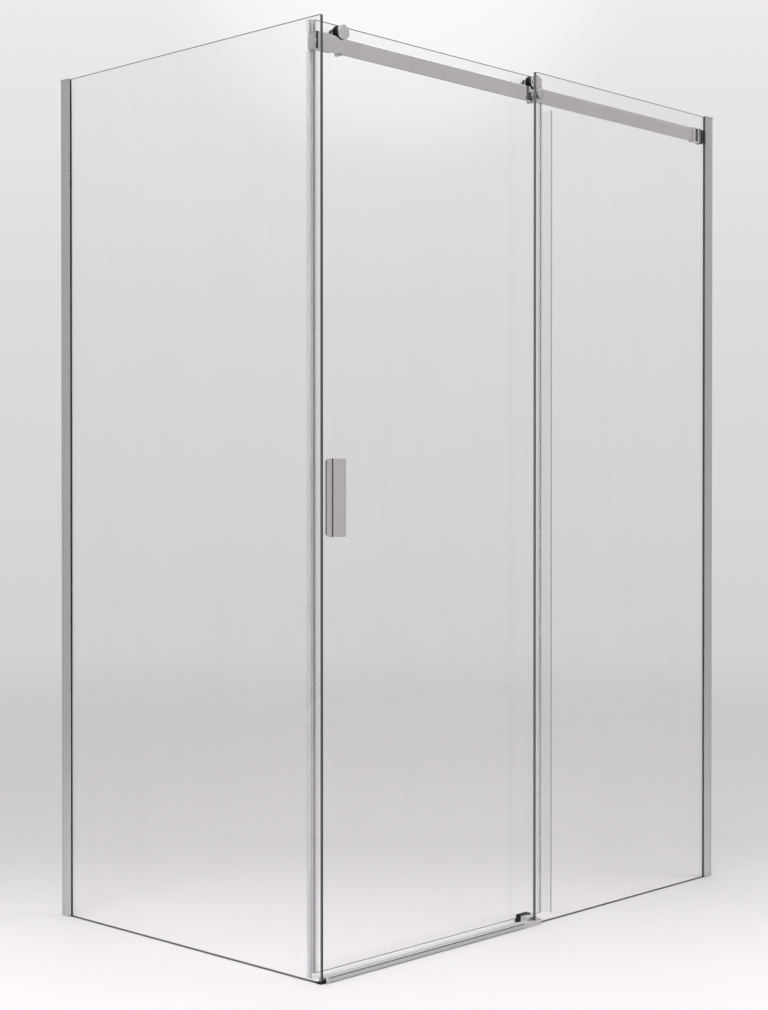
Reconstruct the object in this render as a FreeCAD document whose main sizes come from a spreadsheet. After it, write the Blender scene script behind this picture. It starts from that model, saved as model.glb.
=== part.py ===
# Shower enclosure with a sliding door: a glass side panel, a fixed glass
# front panel and a glass door that hangs on two rollers from a flat rail.
#
# Frame: +Z up, +X along the front from the side panel's corner towards the
# front wall, +Y from the front into the shower. z = 0 is the surface that the
# enclosure stands on. The origin is the middle of the enclosure's footprint
# box. Every sub-part is drawn in its own frame and placed by the corner
# coordinates below, which count from the outer face of the side glass (x),
# the outer face of the fixed glass (y) and the floor (z).
import FreeCAD, Part
import os
import Sketcher

os.makedirs("parts", exist_ok=True)

doc = FreeCAD.newDocument("shower_enclosure")
V = FreeCAD.Vector

# ----------------------------------------------------------------- dimensions
DIMS = [
    # overall
    ("overall_height", 2003.0), ("front_wall_x", 1444.3), ("side_wall_y", 885.7),
    ("origin_x", 719.65), ("origin_y", 438.35),
    # glass
    ("glass_thick", 8.0), ("glass_bottom", 1.5), ("glass_top", 2001.5), ("glass_arris", 0.4),
    ("side_glass_end", 863.2), ("fixed_glass_left", 707.3), ("fixed_glass_right", 1421.8),
    ("door_left", 26.0), ("door_right", 771.0), ("door_front", 38.5),
    ("door_bottom", 10.4),
    # wall profiles
    ("profile_lap", 5.0), ("profile_wall", 1.7), ("profile_depth", 23.5),
    ("profile_mouth", 35.5), ("inner_leg_short", 8.0), ("channel_gap", 0.25), ("channel_wall", 1.6),
    ("channel_reach", 20.0), ("channel_web", 2.5), ("gasket_reach", 1.0),
    ("gasket_lip", 1.5), ("wall_hole_radius", 3.0), ("wall_hole_first", 100.0),
    ("wall_hole_pitch", 600.0), ("cap_thick", 2.0),
    # rail
    ("rail_front", 15.0), ("rail_thick", 10.0), ("rail_bottom", 1935.5),
    ("rail_high", 33.5), ("rail_start", 14.5), ("rail_end", 1382.6),
    # rollers
    ("roller_left_x", 80.0), ("roller_right_x", 719.0), ("roller_z", 1981.0),
    ("wheel_radius", 11.95), ("flange_radius", 15.6), ("roller_cap_radius", 16.0),
    ("axle_radius", 4.0), ("door_hole_radius", 6.0),
    # handle
    ("handle_x", 55.5), ("handle_wide", 40.7), ("handle_deep", 18.2),
    ("handle_z", 923.0), ("handle_high", 165.4),
    ("handle_groove_wide", 1.7), ("handle_groove_deep", 1.8),
    # threshold and guide
    ("threshold_front", 9.0), ("threshold_wide", 20.0), ("threshold_high", 11.7),
    ("threshold_start", 15.8), ("threshold_end", 654.8),
    ("guide_x", 655.0), ("guide_long", 63.5), ("guide_arm_x", 693.0),
    ("guide_arm_wide", 25.5), ("guide_arm_high", 16.0), ("shoe_x", 692.0),
    ("shoe_long", 38.0), ("shoe_high", 18.0), ("shoe_wall", 3.0),
    ("shoe_play", 0.6), ("shoe_floor", 8.0),
    # rail fixing at the fixed glass
    ("fixing_x", 720.0), ("fixing_z", 1949.5), ("fixing_radius", 11.0),
]

sheet = doc.addObject("Spreadsheet::Sheet", "dims")


class Q:
    """A length: its value now, and the words that the sheet keeps it by."""

    def __init__(self, v, t=None):
        self.v = float(v)
        self.t = t if t else "(%s)" % repr(float(v))

    def _w(self, o, op):
        o = o if isinstance(o, Q) else Q(o)
        if op == "+":
            v = self.v + o.v
        elif op == "-":
            v = self.v - o.v
        elif op == "*":
            v = self.v * o.v
        else:
            v = self.v / o.v
        return Q(v, "(%s %s %s)" % (self.t, op, o.t))

    def __add__(self, o):
        return self._w(o, "+")

    def __sub__(self, o):
        return self._w(o, "-")

    def __mul__(self, o):
        return self._w(o, "*")

    def __truediv__(self, o):
        return self._w(o, "/")

    def __radd__(self, o):
        return Q(o)._w(self, "+")

    def __rsub__(self, o):
        return Q(o)._w(self, "-")

    def __rmul__(self, o):
        return Q(o)._w(self, "*")

    def __neg__(self):
        return Q(0)._w(self, "-")


class D:
    pass


d = D()
for row, (alias, value) in enumerate(DIMS, start=1):
    sheet.set("A%d" % row, alias)
    sheet.set("B%d" % row, repr(value))
    sheet.setAlias("B%d" % row, alias)
    setattr(d, alias, Q(value, "dims." + alias))
doc.recompute()


def q(x):
    return x if isinstance(x, Q) else Q(x)


# -------------------------------------------------------------------- helpers
SUB = []


def place(o, x, y, z):
    x, y, z = q(x) - d.origin_x, q(y) - d.origin_y, q(z)
    o.Placement = FreeCAD.Placement(V(x.v, y.v, z.v), FreeCAD.Rotation())
    o.setExpression("Placement.Base.x", x.t)
    o.setExpression("Placement.Base.y", y.t)
    o.setExpression("Placement.Base.z", z.t)


def body(label, x, y, z, own=True):
    """A body in its own frame; own=False when it is one of a group."""
    b = doc.addObject("PartDesign::Body", label)
    b.Label = label
    place(b, x, y, z)
    if own:
        SUB.append(b)
    return b


def origin_plane(b, role):
    for f in b.Origin.OriginFeatures:
        if f.Role == role:
            return f
    raise RuntimeError("no plane " + role)


def sketch(b, name, role, shapes, off=0):
    """shapes: ("poly", [(x, y), ...]) or ("circle", x, y, r)."""
    s = b.newObject("Sketcher::SketchObject", b.Label + "_" + name)
    s.AttachmentSupport = [(origin_plane(b, role), "")]
    s.MapMode = "FlatFace"
    off = q(off)
    # the XZ plane's normal points to -Y, so its offset is turned round
    o = -off if role == "XZ_Plane" else off
    s.AttachmentOffset = FreeCAD.Placement(V(0, 0, o.v), FreeCAD.Rotation())
    s.setExpression("AttachmentOffset.Base.z", o.t)

    def dim(kind, geo, pos, val):
        c = s.addConstraint(Sketcher.Constraint(kind, -1, 1, geo, pos, val.v))
        s.setExpression("Constraints[%d]" % c, val.t)

    for sh in shapes:
        if sh[0] == "poly":
            pts = [(q(x), q(y)) for x, y in sh[1]]
            n = len(pts)
            ids = []
            for i in range(n):
                a, c = pts[i], pts[(i + 1) % n]
                ids.append(s.addGeometry(Part.LineSegment(V(a[0].v, a[1].v, 0), V(c[0].v, c[1].v, 0)), False))
            for i in range(n):
                s.addConstraint(Sketcher.Constraint("Coincident", ids[i], 2, ids[(i + 1) % n], 1))
            for i in range(n):
                x, y = pts[i]
                if x.v == 0 and y.v == 0:
                    s.addConstraint(Sketcher.Constraint("Coincident", ids[i], 1, -1, 1))
                    continue
                if x.v == 0:
                    s.addConstraint(Sketcher.Constraint("PointOnObject", ids[i], 1, -2))
                else:
                    dim("DistanceX", ids[i], 1, x)
                if y.v == 0:
                    s.addConstraint(Sketcher.Constraint("PointOnObject", ids[i], 1, -1))
                else:
                    dim("DistanceY", ids[i], 1, y)
        else:
            x, y, r = q(sh[1]), q(sh[2]), q(sh[3])
            g = s.addGeometry(Part.Circle(V(x.v, y.v, 0), V(0, 0, 1), r.v), False)
            if x.v == 0 and y.v == 0:
                s.addConstraint(Sketcher.Constraint("Coincident", g, 3, -1, 1))
            else:
                if x.v == 0:
                    s.addConstraint(Sketcher.Constraint("PointOnObject", g, 3, -2))
                else:
                    dim("DistanceX", g, 3, x)
                if y.v == 0:
                    s.addConstraint(Sketcher.Constraint("PointOnObject", g, 3, -1))
                else:
                    dim("DistanceY", g, 3, y)
            c = s.addConstraint(Sketcher.Constraint("Radius", g, r.v))
            s.setExpression("Constraints[%d]" % c, r.t)
    return s


def rect(x0, y0, x1, y1):
    return ("poly", [(x0, y0), (x1, y0), (x1, y1), (x0, y1)])


def pad(b, name, role, shapes, length, off=0):
    """Adds material from the plane's offset towards the plus axis."""
    s = sketch(b, name + "_sketch", role, shapes, off)
    p = b.newObject("PartDesign::Pad", b.Label + "_" + name)
    p.Profile = s
    length = q(length)
    p.Length = length.v
    p.setExpression("Length", length.t)
    p.Reversed = role == "XZ_Plane"
    return p


def pocket(b, name, role, shapes, length, off=0):
    """Removes material from the plane's offset towards the plus axis."""
    s = sketch(b, name + "_sketch", role, shapes, off)
    p = b.newObject("PartDesign::Pocket", b.Label + "_" + name)
    p.Profile = s
    length = q(length)
    p.Length = length.v
    p.setExpression("Length", length.t)
    p.Reversed = role != "XZ_Plane"
    return p


def dress(b, kind, size, pick=None, name="edge"):
    """Chamfers or fillets the edges of the body's tip that pick() chooses."""
    doc.recompute()
    tip = b.Tip
    sh = tip.Shape
    names = []
    for i, e in enumerate(sh.Edges, start=1):
        if pick is None or pick(e):
            names.append("Edge%d" % i)
    if not names:
        raise RuntimeError("no edges to dress on " + b.Label)
    f = b.newObject("PartDesign::" + kind, b.Label + "_" + name)
    f.Base = (tip, names)
    size = q(size)
    prop = "Size" if kind == "Chamfer" else "Radius"
    setattr(f, prop, size.v)
    f.setExpression(prop, size.t)
    doc.recompute()
    return f


def straight(axis):
    def f(e):
        c = e.Curve
        if not hasattr(c, "Direction"):
            return False
        v = c.Direction
        return abs(getattr(v, axis)) > 0.99
    return f


def group(label, solids):
    """Several separate solids in one sub-part; each is (x, y, z, feature)."""
    g = doc.addObject("Part::Compound", label)
    g.Label = label
    g.Links = solids
    SUB.append(g)
    return g


def cyl(label, x, y, z, r, length, axis):
    """A round bar from (x, y, z) along +axis."""
    c = doc.addObject("Part::Cylinder", label)
    r, length = q(r), q(length)
    c.Radius, c.Height = r.v, length.v
    c.setExpression("Radius", r.t)
    c.setExpression("Height", length.t)
    rot = {"x": FreeCAD.Rotation(V(0, 1, 0), 90), "y": FreeCAD.Rotation(V(1, 0, 0), -90),
           "z": FreeCAD.Rotation()}[axis]
    x, y, z = q(x) - d.origin_x, q(y) - d.origin_y, q(z)
    c.Placement = FreeCAD.Placement(V(x.v, y.v, z.v), rot)
    c.setExpression("Placement.Base.x", x.t)
    c.setExpression("Placement.Base.y", y.t)
    c.setExpression("Placement.Base.z", z.t)
    return c


def boxp(label, x, y, z, lx, ly, lz):
    c = doc.addObject("Part::Box", label)
    for prop, val in (("Length", lx), ("Width", ly), ("Height", lz)):
        val = q(val)
        setattr(c, prop, val.v)
        c.setExpression(prop, val.t)
    place(c, x, y, z)
    return c


def cut(label, base, tool):
    c = doc.addObject("Part::Cut", label)
    c.Base, c.Tool = base, tool
    return c


def fuse(label, parts):
    c = doc.addObject("Part::MultiFuse", label)
    c.Shapes = parts
    return c


def rounded(label, base, size, pick=None):
    """Rounds the edges of the base that pick() chooses."""
    doc.recompute()
    f = doc.addObject("Part::Fillet", label)
    f.Base = base
    f.Edges = [(i, size, size) for i, e in enumerate(base.Shape.Edges, start=1) if pick is None or pick(e)]
    return f


def keep(label, feature):
    feature.Label = label
    SUB.append(feature)
    return feature


def circle_at(axis, value):
    """Picks whole-circle edges in the plane axis = value (in the part frame)."""
    def f(e):
        bb = e.BoundBox
        lo, hi = getattr(bb, axis + "Min"), getattr(bb, axis + "Max")
        return abs(lo - value) < 0.02 and abs(hi - value) < 0.02 and hasattr(e.Curve, "Radius")
    return f


t = d.glass_thick
H = d.overall_height
TOP = d.glass_top
OX, OY = d.origin_x.v, d.origin_y.v

# ---------------------------------------------------------------- fixed glass
# side panel, standing on its bottom seal; the rail's bracket is bonded to it
side_glass = body("side_glass_panel", 0, 0, d.glass_bottom)
pad(side_glass, "pane", "XY_Plane", [rect(0, 0, t, d.side_glass_end)], TOP - d.glass_bottom)
dress(side_glass, "Chamfer", d.glass_arris, None, "arris")

# fixed front panel, with the hole of the rail fixing
fixed_glass = body("fixed_glass_panel", d.fixed_glass_left, 0, d.glass_bottom)
pad(fixed_glass, "pane", "XY_Plane", [rect(0, 0, d.fixed_glass_right - d.fixed_glass_left, t)], TOP - d.glass_bottom)
dress(fixed_glass, "Chamfer", d.glass_arris, None, "arris")
pocket(fixed_glass, "fixing_hole", "XZ_Plane",
       [("circle", d.fixing_x - d.fixed_glass_left, d.fixing_z - d.glass_bottom, 6.0)], t + 2, -1)

# -------------------------------------------------------------- wall profiles
# Sections are drawn with a = distance from the wall into the room and
# c = across the glass, measured from the glass's outer face.
lap, pw = d.profile_lap, d.profile_wall
mouth, depth = d.profile_mouth, d.profile_depth
mouth_in = mouth - d.inner_leg_short
cg, cw, cr = d.channel_gap, d.channel_wall, d.channel_reach


def glazing_section():
    # an H: the pocket for the glass, a web, and the pocket over the channel;
    # the leg on the inner side is the shorter one
    c0, c1 = -lap, t + lap
    web_in, web_out = mouth - 13.5, mouth - 15.1
    back = mouth - depth
    return [
        (mouth, c0), (mouth, c0 + pw), (web_in, c0 + pw), (web_in, c1 - pw), (mouth_in, c1 - pw), (mouth_in, c1),
        (back, c1), (back, c1 - pw), (web_out, c1 - pw), (web_out, c0 + pw), (back, c0 + pw), (back, c0),
    ]


def channel_section():
    c0, c1 = -lap + pw + cg, t + lap - pw - cg
    return [
        (0, c0), (cr, c0), (cr, c0 + cw), (d.channel_web, c0 + cw),
        (d.channel_web, c1 - cw), (cr, c1 - cw), (cr, c1), (0, c1),
    ]


def gasket_section(outer):
    # a wedge between the profile's leg and the glass, with a lip outside
    m = mouth if outer else mouth_in
    g0 = mouth - 12.9
    g1 = m + d.gasket_reach
    if outer:
        deep = -(lap - pw) + 0.05
        return [(g0, -0.02), (g1, -0.02), (g1, -0.72), (m + 0.4, -d.gasket_lip), (m, deep), (g0, deep)]
    deep = t + lap - pw - 0.05
    return [(g0, t + 0.02), (g1, t + 0.02), (g1, t + 0.72), (m + 0.4, t + d.gasket_lip), (m, deep), (g0, deep)]


def across_front(pts):
    # a counts from the front wall towards -X, c along +Y
    return [(-q(a), q(c)) for a, c in pts]


def across_side(pts):
    # a counts from the side wall towards -Y, c along +X
    return [(q(c), -q(a)) for a, c in pts]


def profile_set(where, x, y, turn):
    z0 = Q(0)
    full = H - d.cap_thick
    wall_axis = "YZ_Plane" if where == "front" else "XZ_Plane"
    ch = body(where + "_wall_channel", x, y, z0)
    pad(ch, "section", "XY_Plane", [("poly", turn(channel_section()))], full)
    holes = []
    for i in range(4):
        hz = d.wall_hole_first + d.wall_hole_pitch * i
        holes.append(("circle", t / 2, hz, d.wall_hole_radius))
    if where == "front":
        pocket(ch, "wall_holes", "YZ_Plane", holes, d.channel_web + 2, -d.channel_web - 1)
    else:
        pocket(ch, "wall_holes", "XZ_Plane", holes, d.channel_web + 2, -d.channel_web - 1)
    gp = body(where + "_glazing_profile", x, y, z0)
    pad(gp, "section", "XY_Plane", [("poly", turn(glazing_section()))], full)
    # clamping screws pass both inner legs; the two upper ones of the front
    # hold the foot of the rail's bracket as well
    screw_z = [Q(250.0), Q(1000.0), Q(1750.0)]
    if where == "front":
        screw_z += [Q(FOOT_Z[0]), Q(FOOT_Z[1])]
    clamp_a = mouth - 18.5
    in0 = t + lap - pw - cg - cw
    r_hole = 2.1
    if where == "front":
        cs = [("circle", -clamp_a, sz, r_hole) for sz in screw_z]
        pocket(ch, "clamp_holes", "XZ_Plane", cs, 6.0, in0 - 1)
        pocket(gp, "clamp_holes", "XZ_Plane", cs, 6.0, in0 - 1)
    else:
        cs = [("circle", -clamp_a, sz, r_hole) for sz in screw_z]
        pocket(ch, "clamp_holes", "YZ_Plane", cs, 6.0, in0 - 1)
        pocket(gp, "clamp_holes", "YZ_Plane", cs, 6.0, in0 - 1)
    pair = []
    for nm, outer in (("outer", True), ("inner", False)):
        gk = body(where + "_gasket_" + nm, x, y, d.glass_bottom, False)
        pad(gk, "section", "XY_Plane", [("poly", turn(gasket_section(outer)))], full - d.glass_bottom)
        pair.append(gk)
    group(where + "_glazing_gaskets", pair)
    cap = body(where + "_profile_cap", x, y, full, False)
    CAPS.append(cap)
    a0, a1, c0, c1 = 0, mouth, -lap, t + lap
    # the cap leaves out the slot where the glass rises through it
    outline = [(a0, c0), (a1, c0), (a1, -0.15), (mouth - 13.3, -0.15), (mouth - 13.3, t + 0.15), (mouth_in, t + 0.15), (mouth_in, c1), (a0, c1)]
    pad(cap, "plate", "XY_Plane", [("poly", turn(outline))], d.cap_thick)
    # pan-head screws from the inner side; those of the bracket's foot are longer
    for i, sz in enumerate(screw_z):
        more = FOOT_T + 0.05 if sz.v in FOOT_Z else 0.0
        if where == "front":
            sx, sy, ax = q(x) - clamp_a, q(y) + in0 - 2.5, "y"
            hx, hy = sx, q(y) + t + lap + 0.02 + more
        else:
            sx, sy, ax = q(x) + in0 - 2.5, q(y) - clamp_a, "x"
            hx, hy = q(x) + t + lap + 0.02, sy
        shank = cyl("%s_clamp_shank_%d" % (where, i), sx, sy, sz, 2.0, 2.5 + cw + cg + pw + 0.5 + more, ax)
        head = cyl("%s_clamp_head_%d" % (where, i), hx, hy, sz, 3.4, 2.0, ax)
        one = fuse("%s_clamp_screw_%d" % (where, i), [shank, head])
        CLAMPS.append(one)


CAPS, CLAMPS = [], []
FOOT_Z, FOOT_T = (1943.5, 1961.5), 3.0   # screws and thickness of the rail bracket's foot
profile_set("front", d.front_wall_x, 0, across_front)
profile_set("side", 0, d.side_wall_y, across_side)
group("profile_caps", CAPS)
group("profile_clamp_screws", CLAMPS)

# ----------------------------------------------------------------- floor line
# flat bottom seals under both panels
fs = body("side_floor_seal", -0.4, 11.0, 0, False)
pad(fs, "strip", "XY_Plane", [rect(0, 0, t + 0.8, d.side_wall_y - mouth - 11.0 - d.gasket_reach - 0.3)], d.glass_bottom - 0.02)
ff = body("front_floor_seal", d.guide_x + d.guide_long + 0.3, -0.4, 0, False)
pad(ff, "strip", "XY_Plane",
    [rect(0, 0, d.front_wall_x - mouth - d.gasket_reach - 0.3 - d.guide_x - d.guide_long - 0.3, t + 0.8)], d.glass_bottom - 0.02)

group("floor_seals", [fs, ff])

# black foot that the side panel's front corner stands in
foot = body("corner_foot", -1.8, -3.2, 0)
pad(foot, "base", "XY_Plane", [rect(0, 0, 10.3, 13.6)], 4.6)
pocket(foot, "glass_seat", "XY_Plane", [rect(1.7, 3.1, 9.9, 15.0)], 6.0, d.glass_bottom - 0.05)
dress(foot, "Chamfer", 0.5, lambda e: e.BoundBox.ZMin > 4.59 and (e.BoundBox.YMax < 0.01 or e.BoundBox.XMax < 0.01))

# threshold bar: a low bar with a rounded front, glued on a foam strip
tf, tw, th = d.threshold_front, d.threshold_wide, d.threshold_high
bar = body("threshold_bar", d.threshold_start, -tf, 0)
pad(bar, "section", "YZ_Plane",
    [("poly", [(0.4, 1.2), (1.2, 0.8), (tw - 1.2, 0.8), (tw - 0.4, 1.2), (tw, 1.9), (tw, th - 1.6), (tw - 0.5, th - 0.5),
               (tw - 1.6, th), (1.6, th), (0.5, th - 0.5), (0, th - 1.6), (0, 1.9)])],
    d.threshold_end - d.threshold_start)
pocket(bar, "foam_seat", "YZ_Plane", [rect(2.0, 0.5, tw - 2.0, 1.5)],
       d.threshold_end - d.threshold_start + 2, -1)
foam = body("threshold_foam", d.threshold_start + 0.5, -tf + 2.1, 0)
pad(foam, "strip", "XY_Plane", [rect(0, 0, d.threshold_end - d.threshold_start - 1.0, tw - 4.2)], 1.45)
endcap = body("threshold_end_cap", 8.8, -tf, 0)
pad(endcap, "cap", "XY_Plane", [rect(0, 0, d.threshold_start - 8.8 - 0.1, tw)], th + 0.3)
dress(endcap, "Fillet", 1.0, lambda e: e.BoundBox.ZMax > 11.9 and e.BoundBox.ZMin > 11.9)

# ----------------------------------------------------------------- door guide
gx, gl = d.guide_x, d.guide_long
ax0, aw = d.guide_arm_x, d.guide_arm_wide
guide = body("door_guide_block", gx, -tf, 0)
pad(guide, "base", "XY_Plane", [rect(0, 0, gl, tw)], th)
pad(guide, "arm", "XY_Plane", [rect(ax0 - gx, tw - 4.0, ax0 - gx + aw, tf + 34.0)], d.guide_arm_high)
dress(guide, "Chamfer", 0.6, lambda e: (e.BoundBox.ZMax > 11.6 and e.BoundBox.ZMax - e.BoundBox.ZMin < 0.01))
pocket(guide, "glass_slot", "XY_Plane",
       [rect(d.fixed_glass_left - gx - 1.7, tf - 1.7, gl + 1, tf + t + 1.7)], 20.0, 0.8)
pocket(guide, "shoe_screw_holes", "XZ_Plane",
       [("circle", ax0 - gx + 7.0, 6.0, 1.6), ("circle", ax0 - gx + 19.0, 6.0, 1.6)], 12.0, tf + 23.0)
liner = body("guide_glass_liner", d.fixed_glass_left - 1.6, -1.6, 0.83)
pad(liner, "wrap", "XY_Plane", [rect(0, 0, gx + gl - d.fixed_glass_left + 1.6, t + 3.2)], 13.2)
pocket(liner, "glass_seat", "XY_Plane",
       [rect(1.55, 1.55, gx + gl - d.fixed_glass_left + 3.0, t + 1.65)], 14.0, d.glass_bottom - 0.85)

# nylon shoe that the door's lower edge runs in
sw, sp = d.shoe_wall, d.shoe_play
shoe_wide = t + 2 * sp + 2 * sw + 1.4
shoe = body("guide_shoe", d.shoe_x, 34.05, 0)
pad(shoe, "base", "XY_Plane", [rect(0, 0, d.shoe_long, shoe_wide)], d.shoe_high)
dress(shoe, "Chamfer", 0.7, lambda e: (e.BoundBox.ZMax > 17.9 and e.BoundBox.ZMax - e.BoundBox.ZMin < 0.01))
pocket(shoe, "slot", "YZ_Plane",
       [rect(d.door_front - 34.05 - sp, d.shoe_floor, d.door_front - 34.05 + t + sp, 30.0)], d.shoe_long + 2, -1)
pocket(shoe, "screw_holes", "XZ_Plane",
       [("circle", ax0 - d.shoe_x + 7.0, 6.0, 1.7), ("circle", ax0 - d.shoe_x + 19.0, 6.0, 1.7)], 20.0, -1)
pocket(shoe, "screw_heads", "XZ_Plane",
       [("circle", ax0 - d.shoe_x + 7.0, 6.0, 3.1), ("circle", ax0 - d.shoe_x + 19.0, 6.0, 3.1)], 12.0, shoe_wide - 9.5)
solids = []
for i, off in enumerate((7.0, 19.0)):
    sy = 34.05 + shoe_wide - 9.5
    shank = cyl("guide_screw_shank_%d" % i, ax0 + off, 25.0, 6.0, 1.55, sy - 25.0 + 1.0, "y")
    head = cyl("guide_screw_head_%d" % i, ax0 + off, sy + 0.02, 6.0, 2.8, 2.4, "y")
    solids.append(fuse("guide_screw_%d" % i, [shank, head]))
group("guide_shoe_screws", solids)

# ----------------------------------------------------------------------- rail
rf, rt, rb, rh = d.rail_front, d.rail_thick, d.rail_bottom, d.rail_high
rail = body("top_rail", d.rail_start, rf, rb)
pad(rail, "bar", "XY_Plane", [rect(0, 0, d.rail_end - d.rail_start, rt)], rh)
dress(rail, "Fillet", 0.8, straight("x"))
fx, fz = d.fixing_x, d.fixing_z
pocket(rail, "fixing_hole", "XZ_Plane", [("circle", fx - d.rail_start, fz - rb, 3.2)], rt + 2, -1)
pocket(rail, "fixing_head", "XZ_Plane", [("circle", fx - d.rail_start, fz - rb, 6.3)], 6.0, rt - 4.5)
pocket(rail, "end_hole_left", "YZ_Plane", [("circle", rt / 2, rh / 2, 2.55)], 22.0, -1)
pocket(rail, "end_hole_right", "YZ_Plane", [("circle", rt / 2, rh / 2, 2.55)], 22.0, d.rail_end - d.rail_start - 21.0)

# bracket at the side glass: plate bonded to the glass by a clear pad, sleeve
# round the rail's end
br = body("corner_rail_bracket", 10.6, 12.9, 1933.2)
pad(br, "sleeve", "XY_Plane", [rect(0, 0, 39.4, 14.2)], 37.1)
pad(br, "plate", "YZ_Plane", [rect(5.0, 3.0, 31.3, 37.8)], 3.6)
dress(br, "Fillet", 0.7, lambda e: e.BoundBox.XMin > 38.0 or (e.BoundBox.YMin > 31.0))
pocket(br, "rail_pocket", "YZ_Plane",
       [rect(rf - 12.9 - 0.05, rb - 1933.2 - 0.05, rf - 12.9 + rt + 0.05, rb - 1933.2 + rh + 0.05)], 40.0, d.rail_start - 10.6)
pocket(br, "rail_bolt_hole", "YZ_Plane", [("circle", rf - 12.9 + rt / 2, rb + rh / 2 - 1933.2, 2.7)], 6.0, -1)
pad_clear = body("corner_bracket_pad", 8.05, 18.4, 1936.6)
pad(pad_clear, "sheet", "XY_Plane", [rect(0, 0, 2.5, 25.4)], 34.0)
pocket(pad_clear, "bolt_hole", "YZ_Plane", [("circle", rf - 18.4 + rt / 2, rb + rh / 2 - 1936.6, 4.4)], 5.0, -1)
black_pad = body("corner_end_pad", 8.05, 12.6, 1935.0)
pad(black_pad, "strip", "XY_Plane", [rect(0, 0, 2.5, 5.6)], 35.0)
dress(black_pad, "Fillet", 0.5, straight("z"))
pocket(black_pad, "bolt_hole", "YZ_Plane", [("circle", rf - 12.6 + rt / 2, rb + rh / 2 - 1935.0, 4.4)], 5.0, -1)

# end bolts of the rail, one at each bracket (screwed into the rail's ends)
RE = d.rail_end
ry, rz0 = rf + rt / 2, rb + rh / 2
lb_s = cyl("rail_bolt_l_shank", 11.5, ry, rz0, 2.5, 20.0, "x")
lb_h = cyl("rail_bolt_l_head", 8.6, ry, rz0, 4.2, 1.95, "x")
lb_n = cyl("rail_bolt_l_neck", 9.5, ry, rz0, 2.5, 3.0, "x")
left_bolt = fuse("rail_bolt_left", [lb_s, lb_n, lb_h])
rb_s = cyl("rail_bolt_r_shank", RE - 18.0, ry, rz0, 2.5, 52.0, "x")
rb_h = cyl("rail_bolt_r_head", RE + 33.4, ry, rz0, 4.2, 3.6, "x")
right_bolt = fuse("rail_bolt_right", [rb_s, rb_h])
group("rail_end_bolts", [left_bolt, right_bolt])

# bracket at the front wall, from the rail's end on: collar, black buffer,
# knuckle, black neck seal, and a foot that is screwed to the wall profile
WX = d.front_wall_x
wb = body("wall_rail_bracket", RE + 11.4, 13.2, 1925.0)
foot_x = WX - RE - 11.4
pad(wb, "knuckle", "XY_Plane", [rect(0, 0, 13.0, 13.9)], 38.0, 7.6)
dress(wb, "Fillet", 3.0, lambda e: straight("y")(e) and e.BoundBox.ZMax < 10.0, "lower_round")
pad(wb, "neck", "XY_Plane", [rect(12.8, 2.0, 26.2, 11.6)], 29.0, 12.5)
pad(wb, "foot", "XY_Plane", [rect(23.6, -0.15, foot_x - 0.2, FOOT_T - 0.15)], 33.0, 11.0)
dress(wb, "Fillet", 0.6, lambda e: e.BoundBox.XMin > foot_x.v - 0.3, "foot_round")
pocket(wb, "bolt_hole", "YZ_Plane", [("circle", ry - 13.2, rz0 - 1925.0, 2.6)], 50.0, -1)
pocket(wb, "bolt_head", "YZ_Plane", [("circle", ry - 13.2, rz0 - 1925.0, 4.4)], 5.0, 22.0)
pocket(wb, "foot_screw_holes", "XZ_Plane",
       [("circle", foot_x - (mouth - 18.5), FOOT_Z[0] - 1925.0, 2.1),
        ("circle", foot_x - (mouth - 18.5), FOOT_Z[1] - 1925.0, 2.1)], 6.0, -1)
buf = body("wall_bracket_buffer", RE + 0.4, 13.1, 1937.2)
pad(buf, "block", "XY_Plane", [rect(0, 0, 10.8, 13.9)], 31.6)
dress(buf, "Fillet", 0.9, lambda e: not (straight("y")(e) or straight("z")(e)))
pocket(buf, "bolt_hole", "YZ_Plane", [("circle", ry - 13.1, rz0 - 1937.2, 2.6)], 14.0, -1)
neck = body("wall_bracket_neck_seal", RE + 25.0, 13.3, 1932.2)
pad(neck, "ring", "YZ_Plane", [rect(0, 0, 13.7, 36.4)], 8.0)
pocket(neck, "hole", "YZ_Plane", [rect(1.8, 5.2, 11.6, 34.4)], 12.0, -1)
col = body("rail_end_collar", RE - 11.6, 12.9, 1933.0)
pad(col, "ring", "YZ_Plane", [rect(0, 0, 14.2, 37.4)], 11.9)
dress(col, "Fillet", 0.7, straight("x"))
pocket(col, "hole", "YZ_Plane", [rect(rf - 12.9 - 0.05, rb - 1933.0 - 0.05, rf - 12.9 + rt + 0.05, rb - 1933.0 + rh + 0.05)], 14.0, -1)

# fixing of the rail to the fixed glass
FY = -4.8
fc_o = cyl("fixing_cap_o", fx, FY, fz, d.fixing_radius, 4.2, "y")
fc_i = cyl("fixing_cap_i", fx, FY + 1.8, fz, 3.05, 4.0, "y")
fc_c = cut("fixing_cap_c", fc_o, fc_i)
keep("rail_fixing_cap", rounded("rail_fixing_cap_f", fc_c, 0.9, circle_at("Y", FY - OY)))
sp_o = cyl("fixing_spacer_o", fx, t + 0.55, fz, 8.0, rf - t - 0.6, "y")
sp_i = cyl("fixing_spacer_i", fx, t, fz, 3.2, 9.0, "y")
keep("rail_fixing_spacer", cut("rail_fixing_spacer_f", sp_o, sp_i))
ws = []
for i, (wy, wr) in enumerate(((-0.55, 9.8), (t + 0.03, 7.6))):
    wo = cyl("fixing_washer_o_%d" % i, fx, wy, fz, wr, 0.5, "y")
    wi = cyl("fixing_washer_i_%d" % i, fx, wy - 0.2, fz, 3.2, 0.9, "y")
    ws.append(cut("fixing_washer_%d" % i, wo, wi))
group("glass_fixing_washers", ws)
fb_s = cyl("fixing_bolt_s", fx, FY + 2.0, fz, 3.0, rf + rt - 4.5 - FY - 2.0 + 0.5, "y")
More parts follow.
